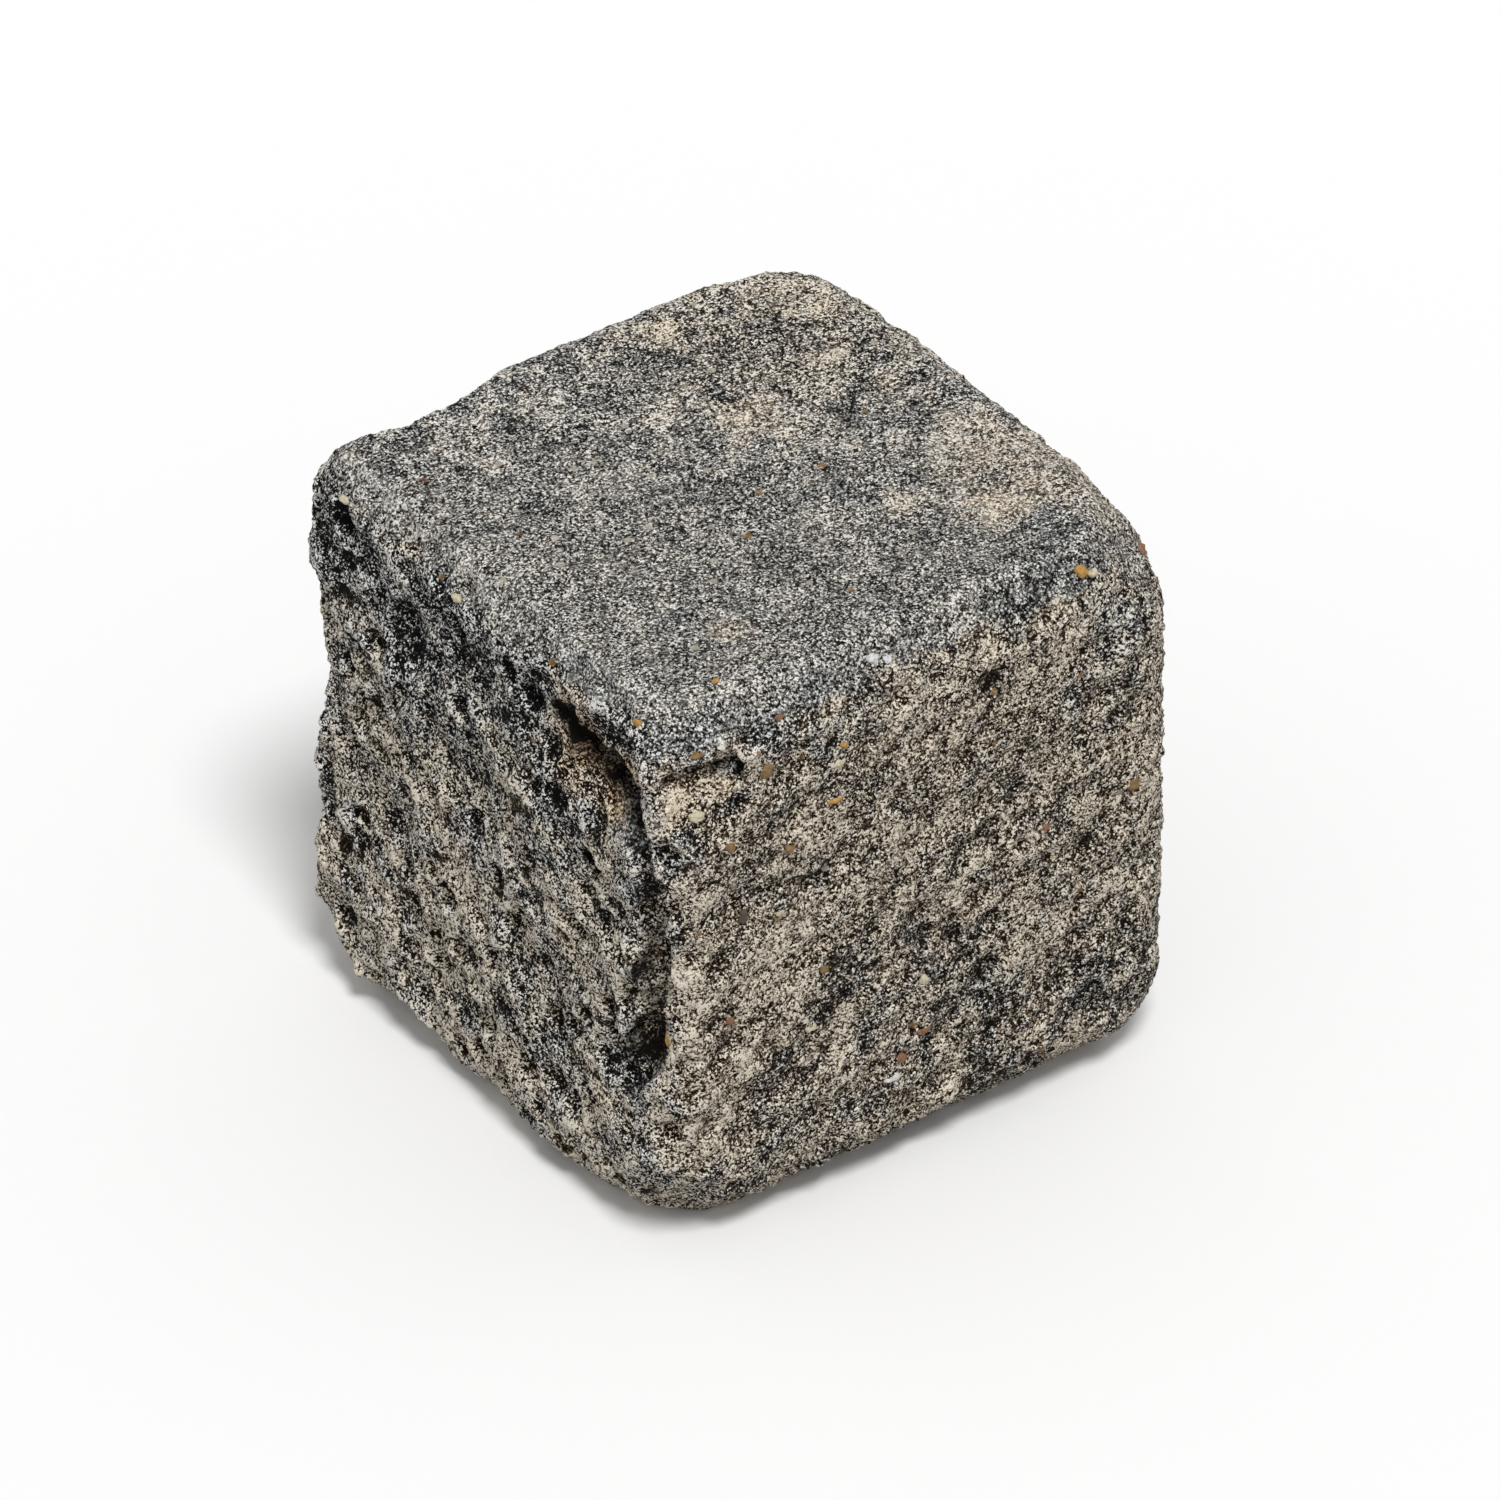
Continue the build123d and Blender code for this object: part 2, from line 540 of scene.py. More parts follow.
def lay_on(piece, coats):
    """Lays these coats on the piece, one over the other, each on its group of sides."""
    _, facing = read_points(piece)
    for side, weights in weigh_sides(facing).items():
        group_points(piece, side, weights)
    for number, (kind, width, depth, group, level, guide) in enumerate(coats):
        name = f"{group}_{number}"
        coat(piece, name, kind(name, width), depth, group, level, guide)
    piece.vertex_groups.clear()


lay_on(block, BROAD_COATS)
remesh(block, SKIN)
lay_on(block, MIDDLE_COATS)
remesh(block, CLOSING_SKIN)
lay_on(block, FINE_COATS)
bpy.data.objects.remove(slant)
print("after the last coat:", len(block.data.polygons), "quads")

# %% [markdown]
# ## Back inside the mould, and thinned
#
# No crumb can stand out of the mould that the block was pressed in. Any point that the relief
# pushed past the casting's box is pulled back onto it, which also leaves the small flat lands
# that a press leaves. The net is then thinned. A coarser remesh would blur all of it alike.
# Decimate takes away the points that the form misses least, so the flat bed gives up nearly all
# of its own.

# %% Press the high points flat, and thin the net
# What is left before the pebbles and sockets add theirs.
MOST_TRIANGLES = 186_000


def press_flat(piece):
    """Pulls back any point that lies outside the casting's box."""
    points, _ = read_points(piece)
    points = np.clip(points, np.array(cad_low), np.array(cad_high))
    piece.data.vertices.foreach_set("co", points.ravel())
    piece.data.update()


press_flat(block)
step = block.modifiers.new("triangles", "TRIANGULATE")
apply_step(block, step)
step = block.modifiers.new("thin", "DECIMATE")
step.ratio = MOST_TRIANGLES / len(block.data.polygons)
apply_step(block, step)
print("thinned to", len(block.data.polygons), "triangles")

# %% [markdown]
# ## Colours as seen on a screen
#
# A shader works with linear colours, but a person picks colours from a screen. The first helper
# turns the one into the other. The rest add nodes, so that each step of a material is one line.
# The same tree could be wired by hand in the shader editor, but fifty nodes are hard to follow
# there.

# %% Colours and plain nodes
def paint(red, green, blue):
    """A screen colour, 0 to 255, as the linear colour that a shader works with."""
    shares = [value / 255 for value in (red, green, blue)]
    return [
        share / 12.92 if share <= 0.04045 else ((share + 0.055) / 1.055) ** 2.4
        for share in shares
    ] + [1.0]


def fill(tree, socket, value):
    """Gives a socket a value, or links it to another node's output."""
    if isinstance(value, bpy.types.NodeSocket):
        tree.links.new(value, socket)
    else:
        socket.default_value = value


def node(tree, kind, settings=None, **sockets):
    """Adds a node, sets its options, and fills its sockets, spaces in their names written _."""
    made = tree.nodes.new(kind)
    for option, value in (settings or {}).items():
        setattr(made, option, value)
    for label, value in sockets.items():
        fill(tree, made.inputs[label.replace("_", " ")], value)
    return made


# %% Sums, ramps and blends
# A Mix node has sockets for every kind of data. These are the ones that it uses for colours.
MIX_SHARE, MIX_FIRST, MIX_SECOND, MIX_RESULT = 0, 6, 7, 2


def maths(tree, operation, *values):
    """The result of one Math node with these values in order."""
    made = tree.nodes.new("ShaderNodeMath")
    made.operation = operation
    for socket, value in zip(made.inputs, values):
        fill(tree, socket, value)
    return made.outputs[0]


def sum_up(tree, start, *terms):
    """The start plus each term, a socket and what it is multiplied by."""
    total = start
    for socket, factor in terms:
        total = maths(tree, "MULTIPLY_ADD", socket, factor, total)
    return total


def ramp(tree, share, stops, mode="LINEAR"):
    """A colour ramp through the stops, each a place from 0 to 1 and a screen colour."""
    made = node(tree, "ShaderNodeValToRGB", Fac=share)
    made.color_ramp.interpolation = mode
    elements = made.color_ramp.elements
    while len(elements) < len(stops):
        elements.new(0.5)
    for element, (place, colour) in zip(elements, stops):
        element.position = place
        element.color = paint(*colour)
    return made.outputs["Color"]


def blend(tree, share, first, second):
    """Mixes two colours: 0 gives the first, 1 the second."""
    made = tree.nodes.new("ShaderNodeMix")
    made.data_type = "RGBA"
    fill(tree, made.inputs[MIX_SHARE], share)
    fill(tree, made.inputs[MIX_FIRST], first)
    fill(tree, made.inputs[MIX_SECOND], second)
    return made.outputs[MIX_RESULT]


def new_material(name):
    """A material, its node tree and its shader."""
    material = bpy.data.materials.new(name)
    material.use_nodes = True
    return material, material.node_tree, material.node_tree.nodes["Principled BSDF"]


# %% [markdown]
# ## Concrete, grain by grain
#
# Seen close, the face is a salt-and-pepper of sand: black basalt, grey stone, white quartz, with
# a little beige lime between. A noise alone looks like fog. A Voronoi texture gives each grain a
# cell with its own random number, and that number, roughened by a fine noise, picks the grain's
# brightness from a ramp. There are three ramps: cool stone for the top, warm for the upright
# sides, and brown where the core shows.

# %% The stone's colours
# Each ramp: places from 0, the darkest grain, to 1, the lightest, and their colours on a screen.
COOL_STONE = [
    (0.00, (5, 5, 6)),
    (0.25, (62, 62, 60)),
    (0.50, (127, 127, 124)),
    (0.75, (192, 191, 187)),
    (1.00, (253, 252, 248)),
]
WARM_STONE = [
    (0.00, (20, 11, 0)),
    (0.25, (76, 63, 46)),
    (0.50, (141, 127, 110)),
    (0.75, (206, 191, 173)),
    (1.00, (255, 245, 226)),
]
BROWN_STONE = [
    (0.00, (18, 9, 2)),
    (0.25, (86, 60, 36)),
    (0.50, (152, 120, 88)),
    (0.75, (214, 184, 150)),
    (1.00, (255, 236, 206)),
]
print("brightness steps:", len(COOL_STONE))

# %% [markdown]
# Sizes are given in millimetres and turned into a texture's scale, which is how many cells fit
# into a metre. The grain's coordinates are pushed about a little by a noise, which keeps the
# cells from having straight sides.

# %% Grains
# Widths in mm: a grain, the noise that bends its sides, and how far that noise pushes them.
GRAIN = 0.48
GRAIN_BEND = 0.8
GRAIN_PUSH = 0.25

stone, tree, shader = new_material("stone")


def per_mm(width):
    """The texture scale at which cells are this wide, in mm."""
    return 1 / (width * MM)


def pushed(tree, place, width, push):
    """Coordinates pushed about by a noise of this width, this far, both in mm."""
    drift = node(tree, "ShaderNodeTexNoise", Vector=place, Scale=per_mm(width), Detail=0.0)
    made = node(tree, "ShaderNodeVectorMath", {"operation": "MULTIPLY_ADD"})
    for socket, value in zip(made.inputs, (drift.outputs["Color"], (push * MM,) * 3, place)):
        fill(tree, socket, value)
    return made.outputs[0]


def randoms(tree, cells):
    """A cell texture's three random numbers per cell."""
    return node(tree, "ShaderNodeSeparateColor", Color=cells.outputs["Color"]).outputs


def attribute(tree, name):
    """A number that was painted on the points."""
    return node(tree, "ShaderNodeAttribute", {"attribute_name": name}).outputs["Fac"]


place = node(tree, "ShaderNodeTexCoord").outputs["Object"]
grain_place = pushed(tree, place, GRAIN_BEND, GRAIN_PUSH)
grains = node(tree, "ShaderNodeTexVoronoi", Vector=grain_place, Scale=per_mm(GRAIN))
grain = randoms(tree, grains)
print("grains to a metre:", round(per_mm(GRAIN)))

# %% [markdown]
# The stone is patchy at every width. The crust is the finest noise and breaks up the grains,
# clumps are a few grains that stick together, and two wider noises make lighter and darker
# patches. All but the crust follow the slant of the mix. Quiet places are those in which the
# grains differ less.

# %% Patches
CLUMP_STRETCH = 1.8


def slant_place(tree, place, stretch):
    """Coordinates in which a texture runs along the slant, stretched this many times."""
    made = node(tree, "ShaderNodeMapping", {"vector_type": "TEXTURE"}, Vector=place)
    made.inputs["Rotation"].default_value = SLANT
    made.inputs["Scale"].default_value = (1, 1, stretch)
    return made.outputs["Vector"]


def mottle(tree, place, width, detail, roughness=0.6):
    """A soft noise from 0 to 1 whose spots are this wide, in mm, with finer ones in them."""
    return node(
        tree, "ShaderNodeTexNoise",
        Vector=place, Scale=per_mm(width), Detail=detail, Roughness=roughness,
    ).outputs["Fac"]


slanted = slant_place(tree, place, STRETCH)
crust = mottle(tree, place, 0.75, detail=3.0, roughness=0.85)
clumps = mottle(tree, slant_place(tree, place, CLUMP_STRETCH), 1.8, detail=1.5)
patches = mottle(tree, slanted, 6.0, detail=1.0)
broad = mottle(tree, slanted, 17.0, detail=1.0)
quiet = mottle(tree, slanted, 10.0, detail=1.0)
print("nodes so far:", len(tree.nodes))

# %% [markdown]
# The larger stones of the mix lie just under the skin and show as round spots, most of them
# slate grey. They are cells too, far apart, of which only the middle is coloured, and only in
# some cells. The rough end has dark pits of the same kind, where the binder has crumbled out:
# dark binder and painted shade. A few grains of 1 to 2 mm show in their own colour on every side.

# %% Make round spots
def spots(tree, place, spacing, smallest, largest, softness, share):
    """Round spots in some cells: how far each point is in one, and the cells' random numbers."""
    cells = node(tree, "ShaderNodeTexVoronoi", Vector=place, Scale=per_mm(spacing))
    random = randoms(tree, cells)
    edge = sum_up(tree, smallest / spacing, (random["Blue"], (largest - smallest) / spacing))
    inner = maths(tree, "SUBTRACT", edge, softness / spacing)
    inside = node(
        tree, "ShaderNodeMapRange", {"interpolation_type": "SMOOTHSTEP"},
        Value=cells.outputs["Distance"], From_Min=inner, From_Max=edge, To_Min=1.0, To_Max=0.0,
    ).outputs["Result"]
    there = maths(tree, "LESS_THAN", random["Red"], share)
    return maths(tree, "MULTIPLY", inside, there), random


# %% Spots, pits and coarse grains
# Width of the noise that bends the spots' sides and how far it pushes them, in mm.
SPOT_BEND, SPOT_PUSH = 4, 4
PIT_STRETCH = 1.2

warped = pushed(tree, place, SPOT_BEND, SPOT_PUSH)
slate, slate_random = spots(
    tree, warped, spacing=11, smallest=2.0, largest=4.6, softness=1.4, share=0.5
)
# Pits: dark spots of binder and painted shade, mostly on the left end.
pit, pit_random = spots(
    tree, slant_place(tree, warped, PIT_STRETCH),
    spacing=8.5, smallest=1.8, largest=3.0, softness=1.2, share=0.75,
)
coarse_grain, coarse_random = spots(
    tree, grain_place, spacing=6, smallest=0.4, largest=1.2, softness=0.3, share=0.4
)
# Each colour, from the share of the coarse grains at which it starts.
COARSE_GRAINS = [
    (0.00, (190, 182, 165)),
    (0.45, (120, 118, 112)),
    (0.60, (60, 58, 56)),
    (0.75, (150, 112, 62)),
    (0.88, (120, 74, 46)),
    (0.94, (214, 206, 190)),
]
print("nodes so far:", len(tree.nodes))

# %% [markdown]
# First comes the level, the brightness of a place. Patches, hollows, clumps, spots and pits each
# lighten or darken it. They show more on a coarse side than on the smooth top, so each has a
# gain: what it is on the top, and what coarseness and its square add to it. Coarseness, tone,
# hollow and the other attributes are painted on the points further down.

# %% The brightness of a place
# The level of a place that nothing lightens or darkens, and the patterns' gains.
MIDDLE = 0.50
PATCH_GAIN = (0.55, 1.55, 0.0)
# Hollows darken with dirt and binder, and as painted shade; high points lighten.
HOLLOW_GAIN = (-0.08, -0.15, -0.72)
CLUMP_GAIN = (0.45, 0.60, 0.90)
# How dark the darkest spot and pit are, and how much lighter the lightest are.
DARKEST_SLATE, SLATE_SPREAD = -0.30, 0.32
DARKEST_PIT, PIT_SPREAD = -0.45, 0.30

coarse = attribute(tree, "coarse")
coarser = maths(tree, "MULTIPLY", coarse, coarse)


def gain(on_top, by_coarse, by_coarser):
    """How strongly a pattern shows at each place."""
    return sum_up(tree, on_top, (coarse, by_coarse), (coarser, by_coarser))


def centred(*noises):
    """The sum of some noises and their shares, moved so that its middle is 0."""
    return sum_up(tree, -sum(share for _, share in noises) / 2, *noises)


patch = centred((patches, 0.75), (broad, 0.65))
slow = sum_up(tree, 0.0, (patch, gain(*PATCH_GAIN)), (attribute(tree, "tone"), 1.0))
slate_there = maths(tree, "MULTIPLY", slate, coarse)
slate_depth = sum_up(tree, DARKEST_SLATE, (slate_random["Green"], SLATE_SPREAD))
pit_there = maths(tree, "MULTIPLY", pit, coarser)
pit_depth = sum_up(tree, DARKEST_PIT, (pit_random["Green"], PIT_SPREAD))
level = sum_up(
    tree, MIDDLE, (slow, 1.0), (attribute(tree, "hollow"), gain(*HOLLOW_GAIN)),
    (slate_there, slate_depth), (pit_there, pit_depth), (centred((clumps, 1.0)), gain(*CLUMP_GAIN)),
)

# %% [markdown]
# Then comes the tone, the brightness of a grain. It is the level, lightened or darkened by the
# grain's own number and the crust. The joints around a grain, which lie furthest from its middle,
# are darker, with dark binder and painted shade. The grains differ most on the coarse end and least
# in the quiet places, and the painted shade of a pit darkens whatever grains lie in it.

# %% The brightness of a grain
GRAIN_GAIN = (1.28, -0.30, 2.25)
# How much of that gain the quietest place keeps, and how much more the liveliest has.
QUIETEST, QUIET_SPREAD = 0.55, 0.90
# What the grain's own number, the crust and the joint do, and a start that keeps the middle near 0.
# The joint's darkening is dark binder and painted shade between the grains.
OWN_SHARE, CRUST_SHARE, JOINT_SHADE = 0.78, 2.05, -0.30
SPECKLE_START = -1.32
# The share of its tone that a grain loses in a pit: dark binder and painted shade.
PIT_SHADE = 0.65

liveliness = sum_up(tree, QUIETEST, (quiet, QUIET_SPREAD))
grain_gain = maths(tree, "MULTIPLY", gain(*GRAIN_GAIN), liveliness)
speckle = sum_up(
    tree, SPECKLE_START, (grain["Red"], OWN_SHARE), (crust, CRUST_SHARE),
    (grains.outputs["Distance"], JOINT_SHADE),
)
tone = sum_up(tree, level, (speckle, grain_gain))
tone = maths(tree, "MULTIPLY", tone, sum_up(tree, 1.0, (pit_there, -PIT_SHADE)))

# %% [markdown]
# The tone now picks a colour from the three ramps. A brighter place is also a warmer one, because
# lime is beige and binder is black. Over that lie the coarse grains in their own colours, and
# last the dirt and painted shade in the crevice, which cover all but a few grains.

# %% The stone's colour
WARMED_BY_LIME = 1.5
COOLED_BY_SLATE = -0.5
COARSE_GRAIN_COVER = 0.75
# The crevice's near-black colour: dirt, and painted shade where the crevice lies in shadow.
DIRT_AND_SHADE = paint(20, 16, 12)
DIRT_AND_SHADE_COVER, GRAINS_SPARED = 1.35, -0.35

warm = sum_up(
    tree, attribute(tree, "warmth"), (slow, WARMED_BY_LIME), (slate_there, COOLED_BY_SLATE)
)
warm = node(tree, "ShaderNodeClamp", Value=warm).outputs["Result"]
colour = blend(tree, warm, ramp(tree, tone, COOL_STONE), ramp(tree, tone, WARM_STONE))
colour = blend(tree, attribute(tree, "brown"), colour, ramp(tree, tone, BROWN_STONE))
coarse_colour = ramp(tree, coarse_random["Green"], COARSE_GRAINS, "CONSTANT")
coarse_there = maths(tree, "MULTIPLY", coarse_grain, COARSE_GRAIN_COVER)
colour = blend(tree, coarse_there, colour, coarse_colour)
dirty_and_shaded = sum_up(tree, 0.0, (attribute(tree, "dirt_and_shade"), DIRT_AND_SHADE_COVER), (grain["Red"], GRAINS_SPARED))
fill(tree, shader.inputs["Base Color"], blend(tree, dirty_and_shaded, colour, DIRT_AND_SHADE))

# %% [markdown]
# The grains also catch the light one by one. They are far too small for the net, so a Bump node
# tilts the surface as if each grain were a little dome at its own height.

# %% The stone's bump and gloss
# How high a grain's dome stands, in mm.
GRAIN_HEIGHT = 0.35

grain_top = sum_up(
    tree, 0.0, (crust, 1.6), (grain["Green"], 0.5), (grains.outputs["Distance"], -0.4)
)
bump = node(tree, "ShaderNodeBump", Height=grain_top, Distance=GRAIN_HEIGHT * MM, Strength=0.9)
fill(tree, shader.inputs["Normal"], bump.outputs["Normal"])
shader.inputs["Roughness"].default_value = 0.9
shader.inputs["Specular IOR Level"].default_value = 0.1
block.data.materials.clear()
block.data.materials.append(stone)
print("stone nodes:", len(tree.nodes))

# %% [markdown]
# ## Pebbles
#
# A few pebbles and shards stand out of the faces in their own colours: ochre, cream, rust and
# quartz white. They could be loose balls that lie half in the block, but a pebble is part of the
# cast. So each is a small icosphere that is squashed, made uneven and set on the block's real
# surface, and is then joined on by a boolean, which keeps the block one closed skin.

# %% Pebble finishes
# Each finish: its dark and its light screen colour.
PEBBLE_COLOURS = {
    "ochre": ((96, 72, 40), (154, 122, 76)),
    "gold": ((138, 98, 40), (206, 162, 88)),
    "cream": ((176, 164, 138), (232, 222, 196)),
    "rust": ((98, 64, 44), (156, 112, 82)),
    "umber": ((52, 44, 36), (98, 84, 68)),
    "quartz": ((176, 178, 180), (242, 242, 242)),
}
# Width and height in mm of the fine dents in a pebble.
DENT_WIDTH = 0.8
DENT_HEIGHT = 0.2


def pebble_finish(name, dark, light):
    """A worn, finely mottled stone of one colour."""
    material, tree, shader = new_material(name)
    place = node(tree, "ShaderNodeTexCoord").outputs["Object"]
    dents = mottle(tree, place, DENT_WIDTH, detail=3.0, roughness=0.7)
    fill(tree, shader.inputs["Base Color"], ramp(tree, dents, [(0.3, dark), (0.7, light)]))
    bump = node(tree, "ShaderNodeBump", Height=dents, Distance=DENT_HEIGHT * MM, Strength=0.6)
    fill(tree, shader.inputs["Normal"], bump.outputs["Normal"])
    shader.inputs["Roughness"].default_value = 0.62
    return material


finishes = {
    name: pebble_finish(name, *colours) for name, colours in PEBBLE_COLOURS.items()
}
print("pebble finishes:", ", ".join(finishes))

# %% Where the pebbles are
# Each pebble: finish, place on the casting and half sizes along X, Y and Z, in mm.
PEBBLES = [
    ("gold", (-71.0, -57.6, 145.6), (0.9, 1.5, 0.9)),
    ("gold", (-49.2, -58.9, 149.5), (1.3, 1.0, 0.7)),
    ("gold", (-71.3, -65.5, 85.2), (0.8, 0.9, 2.2)),
    ("gold", (-70.7, -64.0, 62.2), (0.8, 0.9, 2.4)),
    ("gold", (-24.4, -75.0, 129.1), (1.1, 0.8, 0.8)),
    ("gold", (44.9, -69.9, 145.2), (1.6, 1.3, 1.5)),
    ("gold", (-27.0, -75.0, 114.5), (2.2, 0.8, 0.9)),
    ("ochre", (-44.3, -75.0, 130.5), (1.7, 1.0, 2.1)),
    ("ochre", (57.4, -75.0, 81.5), (1.5, 1.0, 1.9)),
    ("ochre", (-55.2, -75.0, 113.8), (1.3, 0.9, 1.3)),
    ("ochre", (-28.9, -75.0, 67.1), (1.4, 0.9, 1.6)),
    ("ochre", (-40.1, -75.0, 107.6), (1.2, 0.8, 1.1)),
    ("ochre", (-62.0, -70.0, 141.0), (2.2, 0.9, 0.7)),
    ("rust", (70.2, -59.6, 135.2), (1.6, 1.6, 2.3)),
    ("rust", (32.9, -74.9, 80.8), (1.1, 0.8, 1.2)),
    ("rust", (-7.6, -75.0, 33.0), (1.3, 0.8, 1.2)),
    ("rust", (-1.2, -75.0, 37.6), (1.6, 0.9, 1.1)),
    ("rust", (-40.0, -71.7, 143.4), (1.1, 0.8, 0.9)),
    ("rust", (-55.8, -75.0, 65.9), (1.0, 0.8, 1.1)),
    ("umber", (-51.7, -75.0, 91.0), (1.2, 0.8, 2.0)),
    ("cream", (-24.9, -75.0, 124.0), (1.9, 1.0, 1.3)),
    ("cream", (-62.4, -71.6, 124.4), (2.0, 1.2, 1.2)),
    ("cream", (48.9, -70.2, 144.5), (1.0, 1.0, 1.3)),
    ("cream", (-1.6, -75.0, 53.3), (1.2, 0.8, 1.8)),
    ("cream", (-41.7, -75.0, 89.1), (1.2, 0.7, 0.9)),
    ("cream", (-32.9, -74.1, 51.7), (1.6, 0.8, 1.1)),
    ("quartz", (-12.8, -69.5, 145.6), (1.5, 1.2, 1.3)),
    ("quartz", (-9.1, -70.2, 144.9), (1.2, 1.2, 1.2)),
    ("quartz", (-9.9, -75.0, 27.7), (2.3, 0.8, 0.8)),
    ("cream", (-74.3, 52.3, 141.5), (0.9, 1.6, 0.9)),
    ("cream", (-73.7, 7.6, 143.0), (0.9, 1.6, 0.8)),
]
print("pebbles:", len(PEBBLES))

# %% Set the pebbles
PEBBLE_LUMPS = 1.4
# Shares of a pebble's smallest half size: how deep its middle lies, and how uneven it is.
SUNK_PEBBLE = 0.5
PEBBLE_ROUGHNESS = 0.9


def make_pebble(name, finish, place, half_sizes):
    """One pebble, sunk a little into the block's surface nearest to its place."""
    _, surface, outward, _ = block.closest_point_on_mesh(Vector(place) * MM)
    middle = surface - outward * SUNK_PEBBLE * min(half_sizes) * MM
    pebble = ball(name, middle / MM, half_sizes)
    make_uneven(pebble, swells(name, PEBBLE_LUMPS), PEBBLE_ROUGHNESS * min(half_sizes))
    pebble.data.materials.append(finishes[finish])
    return pebble


pebbles = [
    make_pebble(f"{finish}_{number}", finish, place, half_sizes)
    for number, (finish, place, half_sizes) in enumerate(PEBBLES)
]
take(pebbles[0])
for pebble in pebbles:
    pebble.select_set(True)
bpy.ops.object.join()
cut(block, pebbles[0], "UNION")
print("with pebbles:", len(block.data.polygons), "triangles")

# %% [markdown]
# ## Sockets that lost their pebble
#
# Four pebbles have fallen out of the front and its top arris. Each has left a deep, dark socket. A
# dark spot of paint would stay flat in slanting light, so the same kind of ball that makes a
# pebble cuts its socket, straight into the finished relief.

# %% Cut the sockets
# Each socket: middle and half sizes along X, Y and Z in mm.
SOCKETS = {
    "socket_left": ((-52.3, -73.5, 124.8), (1.3, 2.4, 2.2)),
    "socket_right": ((7.4, -73.1, 141.8), (1.1, 2.2, 1.6)),
    "socket_small": ((27.7, -70.9, 144.2), (1.0, 1.6, 1.0)),
    "socket_corner": ((56.7, -70.0, 138.3), (1.0, 1.6, 1.2)),
}

for name, (middle, half_sizes) in SOCKETS.items():
    cut(block, ball(name, middle, half_sizes))
print("with sockets:", len(block.data.polygons), "triangles")

# %% [markdown]
# ## Crumbs that the cuts left
#
# Where a cut only just meets the relief it can leave slivers with no area, and crumbs that hang
# loose beside the block. They could be picked out by hand. It is surer to merge all slivers, to
# separate the mesh by loose parts, and to keep the largest.

# %% Clear the crumbs
# Edges shorter than this, in mm, belong to slivers.
SLIVER = 0.0001


def clear_crumbs(piece):
    """Merges slivers and clears the loose crumbs. Returns what is left, which is the piece."""
    take(piece)
    bpy.ops.object.mode_set(mode="EDIT")
    bpy.ops.mesh.select_all(action="SELECT")
    bpy.ops.mesh.dissolve_degenerate(threshold=SLIVER * MM)
    bpy.ops.mesh.separate(type="LOOSE")
    bpy.ops.object.mode_set(mode="OBJECT")
    *loose, whole = sorted(
        bpy.context.selected_objects, key=lambda part: len(part.data.vertices)
    )
    for crumb in loose:
        bpy.data.objects.remove(crumb)
    return whole


block = clear_crumbs(block)
press_flat(block)
print("cleared:", len(block.data.polygons), "faces")

# %% [markdown]
# ## Where the hollows are
#
# Dirt and the old dark binder stay in the hollows, while the high points are rubbed clean. The
# stone's colour has to follow that, and it also darkens the hollows as painted shade, because
# shading by the light alone is too weak under a soft light. So each point is compared with a
# smoothed copy of the block: a point under the smoothed surface lies in a hollow, one above it
# stands proud. A lightly smoothed copy finds the fine hollows, and a strongly smoothed one the
# broad ones.

# %% Measure the hollows
# How often each copy is smoothed, and how strongly each time.
FINE_ROUNDS, BROAD_ROUNDS = 5, 60
SMOOTHING = 0.5
# Depths in mm that count as fully hollow, and how much each kind of hollow counts.
FINE_DEPTH, BROAD_DEPTH = 0.35, 1.4
FINE_SHARE, BROAD_SHARE = 0.45, 0.55
# What counts as clearly hollow or dirty, in what is printed.
CLEARLY = 0.3


def store(piece, name, values):
    """Keeps one number for each point as an attribute that the material can read."""
    piece.data.attributes.new(name, "FLOAT", "POINT").data.foreach_set("value", values)


def smoothed_points(piece, rounds):
    """The points and facing of a copy of the piece that is smoothed this many times."""
    smoothed = bpy.data.objects.new("smoothed", piece.data.copy())
    bpy.context.collection.objects.link(smoothed)
    step = smoothed.modifiers.new("smooth", "SMOOTH")
    step.factor = SMOOTHING
    step.iterations = rounds
    apply_step(smoothed, step)
    result = read_points(smoothed)
    bpy.data.objects.remove(smoothed)
    return result


def hollows(points, smooth_points, smooth_facing, depth):
    """How deep each point lies under a smoothed copy: 1 at this depth, -1 as far above it."""
    sunk = ((smooth_points - points) * smooth_facing).sum(axis=1)
    return np.clip(sunk / (depth * MM), -1, 1)


points, _ = read_points(block)
fine_hollows = hollows(points, *smoothed_points(block, FINE_ROUNDS), FINE_DEPTH)
broad_points, broad_facing = smoothed_points(block, BROAD_ROUNDS)
broad_hollows = hollows(points, broad_points, broad_facing, BROAD_DEPTH)
store(block, "hollow", FINE_SHARE * fine_hollows + BROAD_SHARE * broad_hollows)
print("points in hollows:", int((broad_hollows > CLEARLY).sum()), "of", len(points))

# %% [markdown]
# ## Weathering, painted by place
#
# A real block isn't evenly coloured. The top is cool grey, the front is beige and the left end
# is darker and coarse. On top of that lie stains, lime patches and dirt at places of their own,
# which no noise would find. They could be brushed on in vertex paint, but a list can be changed
# and repeated. So soft dabs are laid on: each has a place on the block, a radius, and how much
# lighter, warmer or browner it makes the stone there. The dabs' edges are broken up by a noise.

